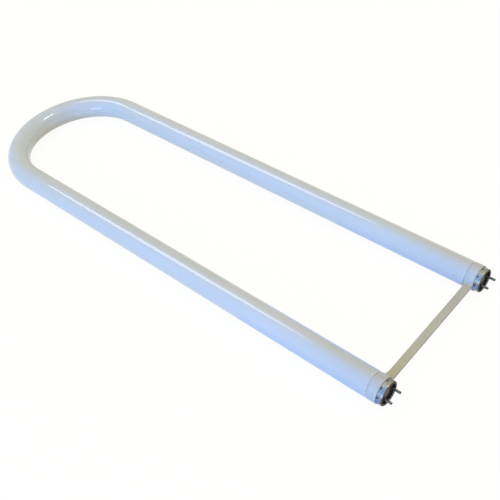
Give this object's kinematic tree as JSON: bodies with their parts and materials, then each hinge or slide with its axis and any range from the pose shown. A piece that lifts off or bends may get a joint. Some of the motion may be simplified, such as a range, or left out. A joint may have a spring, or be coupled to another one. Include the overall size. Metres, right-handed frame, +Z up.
{
  "type": "u shaped fluorescent bulb",
  "caption": "U shaped fluorescent tube: a glass tube bent back on itself, a metal cap with contact pins on each leg, and a brace between the legs.",
  "frame": {"origin": "on the surface that the lamp lies on, under the middle of the whole lamp, pins included", "axes": "+X along the legs towards the caps, +Y across from the right leg to the left leg, +Z up"},
  "size_m": [0.5748, 0.1778, 0.0254],
  "materials": {
    "coated_glass": "glossy clear glass over a white coating that hides the inside",
    "brace_plastic": "cream moulded plastic with a soft sheen",
    "cap_metal": "drawn aluminium, dulled, and stained dark inside the rim",
    "insulator": "tan resin and paper insulating board, matt",
    "pin_metal": "brass plated to a dull olive grey",
    "lead_wire": "drawn nickel alloy wire",
    "cement": "baked basing cement, dull tan"
  },
  "bodies": {
    "root": {"glass_tube": "coated_glass", "spacer_brace": "brace_plastic", "left_cap_shell": "cap_metal", "left_insulator": "insulator", "left_cement_ring": "cement", "left_outer_pin": "pin_metal", "left_outer_lead": "lead_wire", "left_inner_pin": "pin_metal", "left_inner_lead": "lead_wire", "right_cap_shell": "cap_metal", "right_insulator": "insulator", "right_cement_ring": "cement", "right_outer_pin": "pin_metal", "right_outer_lead": "lead_wire", "right_inner_pin": "pin_metal", "right_inner_lead": "lead_wire"}
  },
  "joints": []
}
